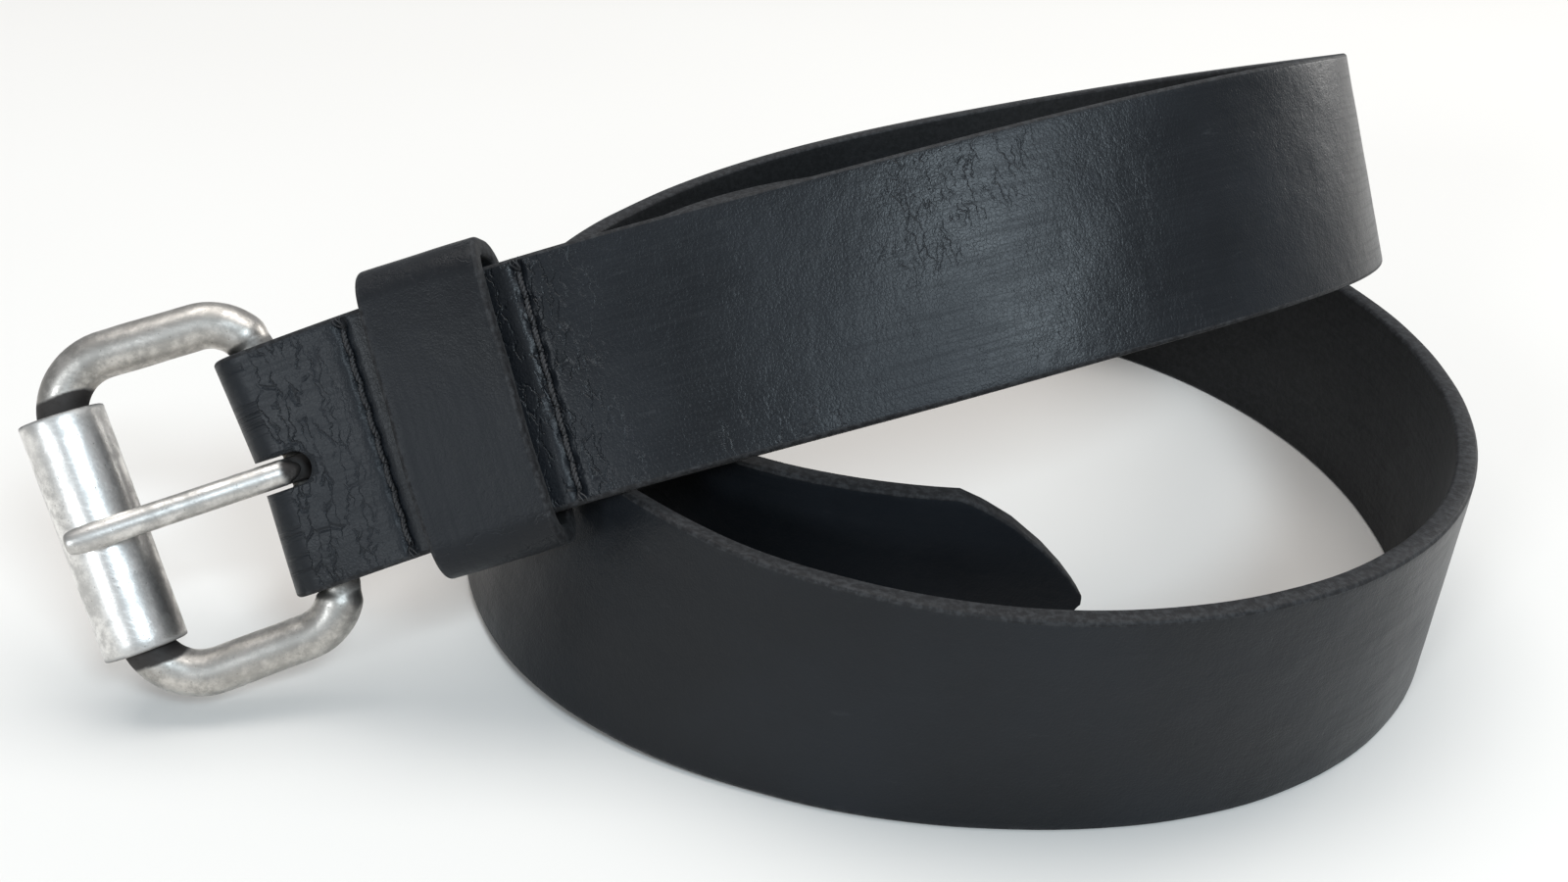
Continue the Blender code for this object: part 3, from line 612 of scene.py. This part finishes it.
def ring_points(s_outer, h_outer, s_inner, h_inner, half, s_label, front, verts, data):
    thickness = math.hypot(s_outer - s_inner, h_outer - h_inner)
    rounding = min(EDGE_ROUND, thickness * 0.42, half * 0.5)
    for share, turn, depth_turn, side in PATTERN:
        v = share * (half - rounding) + turn * rounding
        if side == 0.0:
            depth = 0.0
        elif side == 2.0:
            depth = 1.0
        elif depth_turn >= 0.0:
            depth = depth_turn * rounding / thickness
        else:
            depth = 1.0 + depth_turn * rounding / thickness
        s = mix(s_outer, s_inner, depth)
        h = mix(h_outer, h_inner, depth)
        share_out = v / (STRAP_WIDTH / 2)
        s -= bow(s_label, share_out)
        if side == 0.0 and front:
            h -= surface_dent(s, v)
        ripple = noise.noise(Vector((s_label * 90.0, v * 110.0, 3.0 if front else 9.0))) * 0.10 * MM
        verts.append(strap_point(s, v, h + ripple))
        data["along"].append(s_label if front else -s_label)
        data["across"].append(v)
        data["side"].append(side)
        from_edge = (half - abs(v)) / STRAP_EDGE_WEAR
        data["wear"].append(0.8 * (1.0 - smooth(from_edge)) if side == 0.0 else 0.0)
        near_fold = 1.0 - smooth((s_label - 8.0 * MM) / (16.0 * MM))
        near_row = 1.0 - smooth(abs(s_label - 49.0 * MM) / (13.0 * MM))
        fading = 1.0 - smooth((s_label - 100.0 * MM) / (80.0 * MM))
        worn = smooth((s_label - 56.0 * MM) / (10.0 * MM)) * fading
        rest = 0.22 * worn * smooth((noise.noise(Vector((s_label * 30.0, v * 45.0, 1.0))) + 0.05) * 3.0)
        data["creased"].append(max(0.85 * near_fold, 0.9 * near_row, rest) if side == 0.0 else 0.0)


def strap_stations():
    """Stations of the front ply: fine at the rows and the tip, coarser along the coil."""
    stations = []
    s = BAR_S + 0.5 * MM
    while s < STRAP_LENGTH - TIP_LENGTH:
        stations.append(s)
        near_row = min(abs(s - row_s) for _, row_s in STITCH_ROWS)
        if near_row < 2.6 * MM:
            s += 0.4 * MM
        else:
            s += 1.2 * MM if s < 70.0 * MM else 3.0 * MM
    steps = 30
    stations += [mix(STRAP_LENGTH - TIP_LENGTH, STRAP_LENGTH - 0.15 * MM, math.sin(math.pi / 2 * i / steps))
                 for i in range(steps + 1)]
    return stations


def add_strap(mat):
    verts = []
    data = {"along": [], "across": [], "side": [], "wear": [], "creased": []}
    half = STRAP_WIDTH / 2
    rings = 0
    count = 34
    for i in range(count):
        s = mix(BACK_PLY_END, BAR_S, i / count)
        slope = (back_middle(s + MM * 0.1) - back_middle(s - MM * 0.1)) / (MM * 0.2)
        length = math.hypot(1.0, slope)
        ds = slope / length * FOLD_THICK / 2
        dh = FOLD_THICK / 2 / length
        mid = back_middle(s)
        narrow = BACK_PLY_TAPER * smooth((s - BACK_CLOSE_END) / (BACK_PLY_END - BACK_CLOSE_END))
        ring_points(s + ds, mid - dh, s - ds, mid + dh, half - narrow, s, False, verts, data)
        rings += 1
    segments = 20
    for i in range(segments + 1):
        angle = math.radians(270.0 - 180.0 * i / segments)
        c = math.cos(angle)
        q = math.sin(angle)
        ring_points(BAR_S + FOLD_OUTER * c, BAR_H + FOLD_OUTER * q,
                    BAR_S + FOLD_INNER * c, BAR_H + FOLD_INNER * q, half, BAR_S, True, verts, data)
        rings += 1
    for s in strap_stations():
        top = STRAP_THICK / 2
        ring_points(s, top, s, top - front_thickness(s), half_width(s), s, True, verts, data)
        rings += 1
    strap = add_mesh("strap_fine", verts, skin_faces(rings, len(PATTERN), False), mat, data,
                     LEATHER_SMOOTH_ANGLE)

    # the prong slot round the fold, and the size holes near the tip
    at_start = strap_matrix(0.0)
    centre = SLOT_END - SLOT_HALF_WIDTH
    outline = [(-FOLD_OUTER, -SLOT_HALF_WIDTH)]
    for i in range(17):
        angle = math.radians(-90.0 + 180.0 * i / 16)
        outline.append((centre + SLOT_HALF_WIDTH * math.cos(angle), SLOT_HALF_WIDTH * math.sin(angle)))
    outline.append((-FOLD_OUTER, SLOT_HALF_WIDTH))
    parts = [prism(outline, -3.0 * FOLD_OUTER, STRAP_THICK, at_start)]
    for i in range(HOLE_COUNT):
        at_hole = strap_matrix(STRAP_LENGTH - HOLE_FIRST - i * HOLE_PITCH)
        ring = [(HOLE_RADIUS * math.cos(2 * math.pi * k / 32), HOLE_RADIUS * math.sin(2 * math.pi * k / 32))
                for k in range(32)]
        parts.append(prism(ring, -STRAP_THICK, STRAP_THICK, at_hole))
    cut_and_apply(strap, *join_parts(parts))
    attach(strap, "strap")
    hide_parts("strap")


# ---- stitching ---------------------------------------------------------------------------
def twisted(path):
    """Two strands laid round each other along a path of points."""
    parts = []
    lengths = [0.0]
    for a, b in zip(path, path[1:]):
        lengths.append(lengths[-1] + (b - a).length)
    up = Vector((1.0, 0.0, 0.0))
    for phase in (0.0, math.pi):
        strand = []
        for i, point in enumerate(path):
            along = (path[min(i + 1, len(path) - 1)] - path[max(i - 1, 0)]).normalized()
            out = up.cross(along).normalized()
            angle = phase + 2 * math.pi * lengths[i] / TWIST_PITCH
            strand.append(point + (out * math.cos(angle) + up * math.sin(angle)) * TWIST_RADIUS)
        parts.append(tube(strand, [STRAND_RADIUS] * len(strand), 8))
    return join_parts(parts)


def tube(path, radii, sides):
    """A round tube along any path, its rings turned as little as possible."""
    verts = []
    side = Vector((0.3, 0.5, 0.8))
    for i, point in enumerate(path):
        along = (path[min(i + 1, len(path) - 1)] - path[max(i - 1, 0)]).normalized()
        side = (side - along * side.dot(along)).normalized()
        other = along.cross(side)
        for k in range(sides):
            angle = 2 * math.pi * k / sides
            verts.append(point + (side * math.cos(angle) + other * math.sin(angle)) * radii[i])
    return verts, skin_faces(len(path), sides, False)


def stitch_curve(over, low):
    """Points of a row's thread, sagging over the leather and diving into every hole."""
    points = []
    positions = stitch_positions()
    per = 14
    for a, b in zip(positions, positions[1:]):
        for i in range(per):
            u = i / per
            lift = math.sin(math.pi * u) ** 0.55
            points.append(Vector((0.0, mix(a, b, u), mix(low, over, lift))))
    points.append(Vector((0.0, positions[-1], low)))
    return points


def add_stitches(mat):
    for row_name, row_s in STITCH_ROWS:
        at_row = strap_matrix(row_s)
        back_face = back_middle(row_s) - FOLD_THICK / 2
        top = STRAP_THICK / 2
        sides = (
            ("needle", top + 0.02 * MM, top - 1.0 * MM),
            ("bobbin", back_face - 0.28 * MM, back_face + 0.35 * MM),
        )
        for thread_name, over, low in sides:
            parts = [twisted(stitch_curve(over, low))]
            if thread_name == "needle":
                reach = STRAP_WIDTH / 2 - STITCH_INSET
                for k in range(FRAYS):
                    end = reach if k < 3 else -reach
                    lean = math.sin(k * 2.1) * 0.8
                    start = Vector((0.0, end, top - 0.6 * MM))
                    tail = [start + Vector((lean * u * 1.1 + 0.25 * math.sin(5 * u + k),
                                            math.copysign(1.0, end) * u * 1.9,
                                            0.9 * math.sin(math.pi * u * 0.8) + 0.7 * u)) * MM
                            for u in [i / 9 for i in range(10)]]
                    parts.append(tube(tail, [mix(0.17, 0.08, i / 9) * MM for i in range(10)], 6))
            verts, faces = join_parts(parts)
            name = "stitch_" + row_name + "_" + thread_name
            obj = add_mesh(name + "_fine", [at_row @ v for v in verts], faces, mat)
            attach(obj, "strap")
            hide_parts(name)


# ---- keeper ------------------------------------------------------------------------------
def keeper_path():
    half = STRAP_WIDTH / 2 + KEEPER_SIDE_GAP + KEEPER_THICK / 2
    low = -STRAP_THICK / 2 - PLY_GAP - FOLD_THICK - KEEPER_BACK_GAP - KEEPER_THICK / 2
    high = STRAP_THICK / 2 + KEEPER_FRONT_GAP + KEEPER_THICK / 2
    radius = KEEPER_CORNER + KEEPER_THICK / 2
    span = half - radius
    joint = KEEPER_JOINT_GAP / 2
    bend = 14
    path = [(mix(joint, span, i / 12), low) for i in range(12)]
    for i in range(bend + 1):
        angle = math.radians(-90.0 + 90.0 * i / bend)
        path.append((span + radius * math.cos(angle), low + radius + radius * math.sin(angle)))
    for i in range(bend + 1):
        angle = math.radians(90.0 * i / bend)
        path.append((span + radius * math.cos(angle), high - radius + radius * math.sin(angle)))
    for i in range(1, 30):
        v = span * (1 - 2 * i / 30)
        path.append((v, high + KEEPER_BULGE * (1 - (v / span) ** 2)))
    for i in range(bend + 1):
        angle = math.radians(90.0 + 90.0 * i / bend)
        path.append((-span + radius * math.cos(angle), high - radius + radius * math.sin(angle)))
    for i in range(bend + 1):
        angle = math.radians(180.0 + 90.0 * i / bend)
        path.append((-span + radius * math.cos(angle), low + radius + radius * math.sin(angle)))
    path += [(-mix(joint, span, 1.0 - i / 12), low) for i in range(1, 13)]
    return path, half, low, high


def add_keeper(leather, steel):
    path, half, low, _ = keeper_path()
    at_keeper = strap_matrix(KEEPER_S)
    columns = 24
    rounding = KEEPER_ROUND
    a = KEEPER_BAND_WIDTH / 2
    b = KEEPER_THICK / 2
    section = [(mix(-a + rounding, a - rounding, i / columns), b, 0.0) for i in range(columns + 1)]
    rising = corner_angles(EDGE_POINTS)
    falling = rising[::-1]

    def corner(x_sign, h_sign, angles):
        return [(x_sign * (a - rounding + rounding * math.sin(q)),
                 h_sign * (b - rounding + rounding * math.cos(q)), 1.0) for q in angles]

    section += corner(1.0, 1.0, rising) + corner(1.0, -1.0, falling)
    section += [(mix(a - rounding, -a + rounding, i / columns), -b, 2.0) for i in range(columns + 1)]
    section += corner(-1.0, -1.0, rising) + corner(-1.0, 1.0, falling)
    verts = []
    data = {"along": [], "across": [], "side": [], "wear": [], "creased": []}
    walked = 0.0
    for i, (v, h) in enumerate(path):
        v0, h0 = path[max(i - 1, 0)]
        v1, h1 = path[min(i + 1, len(path) - 1)]
        along = Vector((v1 - v0, h1 - h0)).normalized()
        out = Vector((along.y, -along.x))
        walked += math.hypot(v - v0, h - h0)
        for x, thick, side in section:
            wave = noise.noise(Vector((x * 130.0, walked * 120.0, 4.0))) * 0.14 * MM
            edge_wave = noise.noise(Vector((walked * 90.0, 2.0 if x > 0 else 7.0, 0.0))) * 0.25 * MM
            place = Vector((x + edge_wave * abs(x) / a,
                            v + out.x * (thick + wave), h + out.y * (thick + wave)))
            verts.append(at_keeper @ place)
            data["along"].append(walked)
            data["across"].append(x)
            data["side"].append(side)
            data["wear"].append(0.9 * (1.0 - smooth((a - abs(x)) / KEEPER_EDGE_WEAR)) if side == 0.0 else 0.0)
            at_bend = smooth((abs(v) - half + 6.0 * MM) / (4.0 * MM))
            data["creased"].append(0.30 * at_bend if side == 0.0 else 0.0)
    keeper = add_mesh("keeper_fine", verts, skin_faces(len(path), len(section), False), leather, data,
                      LEATHER_SMOOTH_ANGLE)
    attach(keeper, "keeper")
    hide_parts("keeper_band")

    outside = low - b - STAPLE_LIFT
    inside = low + b + STAPLE_LIFT
    corners = [(1.2 * MM, inside), (STAPLE_HALF_SPAN, inside), (STAPLE_HALF_SPAN, outside),
               (-STAPLE_HALF_SPAN, outside), (-STAPLE_HALF_SPAN, inside), (-1.2 * MM, inside)]
    points = [Vector((0.0, v, h)) for v, h in corners]
    wire = [points[0]]
    for before, here, after in zip(points, points[1:], points[2:]):
        p = here + (before - here).normalized() * 0.7 * MM
        q = here + (after - here).normalized() * 0.7 * MM
        wire += [p.lerp(here, u).lerp(here.lerp(q, u), u) for u in (0.0, 0.25, 0.5, 0.75, 1.0)]
    wire.append(points[-1])
    verts, faces = sweep(wire, [STAPLE_RADIUS] * len(wire), 14, Vector((1.0, 0.0, 0.0)))
    staple = add_mesh("staple_fine", [at_keeper @ v for v in verts], faces, steel)
    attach(staple, "keeper")
    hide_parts("keeper_staple")


# ---- buckle ------------------------------------------------------------------------------
def buckle_matrix():
    point, along, across, out = strap_frame(0.0)
    angle = math.radians(BUCKLE_ANGLE)
    to_roller = -along * math.cos(angle) + out * math.sin(angle)
    normal = along * math.sin(angle) + out * math.cos(angle)
    centre = point + along * BAR_S + out * BAR_H
    return Matrix.Translation(centre) @ Matrix((to_roller, -across, normal)).transposed().to_4x4()


def corner_arc(before, corner, after, radius, segments):
    a = (before - corner).normalized()
    b = (after - corner).normalized()
    angle = a.angle(b)
    centre = corner + (a + b).normalized() * radius / math.sin(angle / 2)
    start = corner + a * radius / math.tan(angle / 2) - centre
    turn = math.pi - angle
    if start.y * a.x - start.x * a.y < 0:
        turn = -turn
    points = []
    for i in range(segments + 1):
        c = math.cos(turn * i / segments)
        s = math.sin(turn * i / segments)
        points.append(Vector((centre.x + start.x * c - start.y * s, centre.y + start.x * s + start.y * c)))
    return points


def frame_path():
    rear = Vector((0.0, REAR_HALF_HEIGHT))
    front = Vector((BAR_TO_ROLLER, FRONT_HALF_HEIGHT))
    bar_end = REAR_HALF_HEIGHT - REAR_CORNER - 0.7 * MM
    neck = NECK_HALF + NECK_STEP
    half = [Vector((0.0, y)) for y in (0.0, NECK_HALF / 2, NECK_HALF)]
    half += [Vector((0.0, mix(NECK_HALF, neck, u))) for u in (0.25, 0.5, 0.75, 1.0)]
    half += [Vector((0.0, mix(neck, bar_end, u / 8))) for u in range(1, 9)]
    rear_arc = corner_arc(Vector((0.0, 0.0)), rear, front, REAR_CORNER, 22)
    front_arc = corner_arc(rear, front, Vector((BAR_TO_ROLLER, 0.0)), FRONT_CORNER, 22)
    side = [rear_arc[-1].lerp(front_arc[0], u / 8) for u in range(1, 8)]
    half += rear_arc + side + front_arc
    half += [front_arc[-1].lerp(Vector((BAR_TO_ROLLER, 0.0)), u / 8) for u in range(1, 9)]
    points = half + [Vector((p.x, -p.y)) for p in reversed(half[1:-1])]
    radii = []
    for p in points:
        if p.x < BAR_TO_ROLLER / 3 and abs(p.y) < neck:
            radii.append(mix(NECK_RADIUS, BAR_RADIUS, smooth((abs(p.y) - NECK_HALF) / NECK_STEP)))
        elif p.x < BAR_TO_ROLLER / 3:
            grow = smooth((abs(p.y) - WIRE_GROW_START) / (WIRE_GROW_END - WIRE_GROW_START))
            radii.append(mix(BAR_RADIUS, WIRE_RADIUS, grow))
        else:
            radii.append(WIRE_RADIUS)
    return [Vector((p.x, p.y, 0.0)) for p in points], radii


def metal_dents(point, amount):
    """Small hammered unevenness of the cast wire."""
    return noise.noise(point * 150.0) * amount + noise.noise(point * 420.0) * amount * 0.4


def finish_metal(name, verts, faces, matrix, mat, grime, body, node):
    obj = add_mesh(name, [matrix @ v for v in verts], faces, mat, {"grime": grime}, METAL_SMOOTH_ANGLE)
    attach(obj, body)
    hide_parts(node)


def add_buckle(frame_metal, roller_metal, prong_metal):
    at_buckle = buckle_matrix()

    path, radii = frame_path()
    radii = [r * (1.0 + metal_dents(p, 0.018)) for p, r in zip(path, radii)]
    verts, faces = sweep(path, radii, 32, Vector((0.0, 0.0, 1.0)), closed=True)
    grime = []
    for v in verts:
        at_roller = 1.0 - smooth((abs(abs(v.y) - GRIME_AT_ROLLER) - 0.8 * MM) / (2.2 * MM))
        inside = smooth((v.x - 22.0 * MM) / (4.0 * MM))
        at_fold = (1.0 - smooth(v.x / (2.5 * MM))) * (1.0 - smooth((abs(v.y) - 20.0 * MM) / (2.0 * MM)))
        grime.append(max(0.95 * at_roller * inside, 0.6 * at_fold))
    finish_metal("frame_fine", verts, faces, at_buckle, frame_metal, grime,
                 "frame", "buckle_frame")

    round_end = ROLLER_END_ROUND
    half = ROLLER_LENGTH / 2
    profile = [(ROLLER_BORE, -half + round_end)]
    profile += [(ROLLER_BORE + round_end, -half), (ROLLER_RADIUS - round_end, -half)]
    profile += [(ROLLER_RADIUS - round_end * 0.3, -half + round_end * 0.3),
                (ROLLER_RADIUS, -half + round_end)]
    profile += [(ROLLER_RADIUS, mix(-half + round_end, half - round_end, i / 24)) for i in range(1, 24)]
    profile += [(ROLLER_RADIUS, half - round_end), (ROLLER_RADIUS - round_end * 0.3, half - round_end * 0.3)]
    profile += [(ROLLER_RADIUS - round_end, half), (ROLLER_BORE + round_end, half),
                (ROLLER_BORE, half - round_end)]
    verts, grime = [], []
    around = 72
    for i in range(around):
        angle = 2 * math.pi * i / around
        seam = ROLLER_SEAM_DEPTH * (1.0 - smooth(abs(math.degrees(angle) - ROLLER_SEAM_ANGLE) / 4.0))
        for r, y in profile:
            outer = r > (ROLLER_BORE + ROLLER_RADIUS) / 2
            place = Vector((math.cos(angle), y, math.sin(angle)))
            dent = metal_dents(Vector((place.x * 6 * MM, y, place.z * 6 * MM)), 0.05 * MM) if outer else 0.0
            radius = r + dent - (seam if outer else 0.0)
            verts.append(Vector((radius * math.cos(angle), y, radius * math.sin(angle))))
            grime.append(0.9 if not outer else 0.62 * (1.0 - smooth((half - abs(y)) / (1.4 * MM))))
    faces = skin_faces(around, len(profile), True)
    at_roller = at_buckle @ Matrix.Translation((BAR_TO_ROLLER, 0.0, 0.0))
    finish_metal("roller_fine", verts, faces, at_roller, roller_metal, grime,
                 "roller", "buckle_roller")

    at_contact = ROLLER_RADIUS + PRONG_ROLLER_GAP + PRONG_RADIUS
    slope = (at_contact - PRONG_ROOT_HEIGHT) / (BAR_TO_ROLLER - PRONG_ROOT)
    tip = BAR_TO_ROLLER + PRONG_OVERHANG
    root_shape = ((0.0, 0.12), (0.15, 0.26), (0.4, 0.42), (1.0, 0.62), (1.8, 0.84), (2.2, 0.94), (2.6, 1.0))
    stations = [(PRONG_ROOT + x * MM, k) for x, k in root_shape]
    stations += [(mix(PRONG_ROOT + 2.6 * MM, tip - 4.0 * MM, i / 24), 1.0) for i in range(1, 25)]
    for i in range(1, 15):
        u = i / 14
        x = mix(tip - 4.0 * MM, tip, math.sin(math.pi / 2 * u))
        stations.append((x, mix(0.22, 1.0, math.sqrt(max(0.0, 1 - u ** 2.4)))))
    shank = [Vector((x, 0.0, PRONG_ROOT_HEIGHT + slope * (x - PRONG_ROOT))) for x, _ in stations]
    widths = [PRONG_RADIUS * k * (1.0 + metal_dents(p, 0.02)) for p, (_, k) in zip(shank, stations)]
    shank_part = sweep(shank, widths, 28, Vector((0.0, 1.0, 0.0)))
    soft = 0.4 * MM
    eye_profile = [(EYE_BORE, -EYE_HALF_WIDTH + soft), (EYE_BORE + soft, -EYE_HALF_WIDTH),
                   (EYE_RADIUS - soft, -EYE_HALF_WIDTH), (EYE_RADIUS, -EYE_HALF_WIDTH + soft),
                   (EYE_RADIUS, EYE_HALF_WIDTH - soft), (EYE_RADIUS - soft, EYE_HALF_WIDTH),
                   (EYE_BORE + soft, EYE_HALF_WIDTH), (EYE_BORE, EYE_HALF_WIDTH - soft)]
    eye = []
    for i in range(48):
        angle = 2 * math.pi * i / 48
        eye += [Vector((r * math.cos(angle), y, r * math.sin(angle))) for r, y in eye_profile]
    eye_part = (eye, skin_faces(48, len(eye_profile), True))
    verts, faces = join_parts([shank_part, eye_part])
    grime = [0.75 * (1.0 - smooth((v.x - 0.5 * MM) / (3.5 * MM))) for v in verts]
    finish_metal("prong_fine", verts, faces, at_buckle, prong_metal, grime,
                 "prong", "buckle_prong")


# ---- the whole scene ---------------------------------------------------------------------
add_camera()
SHIFT = BAR_ORIGIN - buckle_matrix().translation

floor = add_mesh("floor", [(-3, -3, 0), (3, -3, 0), (3, 3, 0), (-3, 3, 0)], [(0, 1, 2, 3)], floor_material())
world = bpy.data.worlds.new("soft_room")
bpy.context.scene.world = world
bpy.context.scene.view_settings.view_transform = "Standard"
world.use_nodes = True
world.node_tree.nodes["Background"].inputs["Color"].default_value = (0.93, 0.96, 1.0, 1.0)
world.node_tree.nodes["Background"].inputs["Strength"].default_value = WORLD_STRENGTH
add_area_light("window_front", (0.59, -1.09, 1.14), (0.02, -0.05, 0.06), 0.46, 0.36, 13.5, (0.76, 0.90, 1.0))
add_area_light("window_left", (-0.80, -1.29, 0.54), (-0.08, -0.06, 0.05), 0.26, 0.26, 7.0, (0.88, 0.95, 1.0))
add_area_light("window_right", (1.00, 0.72, 0.37), (0.10, 0.0, 0.06), 0.40, 0.40, 3.5, (1.0, 0.98, 0.95))
add_area_light("ceiling", (0.0, 0.30, 1.4), (0.0, 0.0, 0.0), 1.6, 0.9, 16.0, (1.0, 0.985, 0.97))

strap_leather = leather_material("strap_leather_fine", (0.0042, 0.0054, 0.0072, 1.0), 0.37)
keeper_leather = leather_material("keeper_leather_fine", (0.0036, 0.0044, 0.0058, 1.0), 0.44)
add_strap(strap_leather)
add_stitches(thread_material())
add_keeper(keeper_leather, metal_material("staple_steel_fine", (0.55, 0.55, 0.56, 1.0), 0.32))
add_buckle(
    metal_material("frame_metal_fine", (0.54, 0.515, 0.48, 1.0), 0.36),
    metal_material("roller_metal_fine", (0.78, 0.765, 0.74, 1.0), 0.33),
    metal_material("prong_metal_fine", (0.68, 0.66, 0.63, 1.0), 0.34),
)
